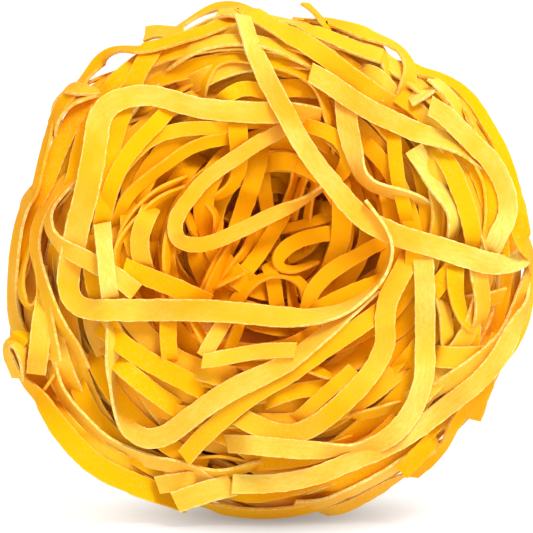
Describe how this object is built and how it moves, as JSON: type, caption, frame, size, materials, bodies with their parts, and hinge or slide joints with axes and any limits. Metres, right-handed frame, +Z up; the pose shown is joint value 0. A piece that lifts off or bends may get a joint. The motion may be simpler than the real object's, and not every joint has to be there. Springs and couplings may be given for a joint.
{
  "type": "dry pasta nest",
  "caption": "Nest of dry yellow ribbon pasta, wound into a thick round cushion with a hollow face, standing on its rim.",
  "frame": {"origin": "on the ground, under the middle of the nest's box", "axes": "+Z up, -Y out of the hollow face, +X to the right of someone who looks at that face"},
  "size_m": [0.076, 0.0418, 0.0746],
  "materials": {
    "egg_pasta": "dull, a little floury"
  },
  "bodies": {
    "root": {"pasta_nest": "egg_pasta"}
  },
  "joints": []
}
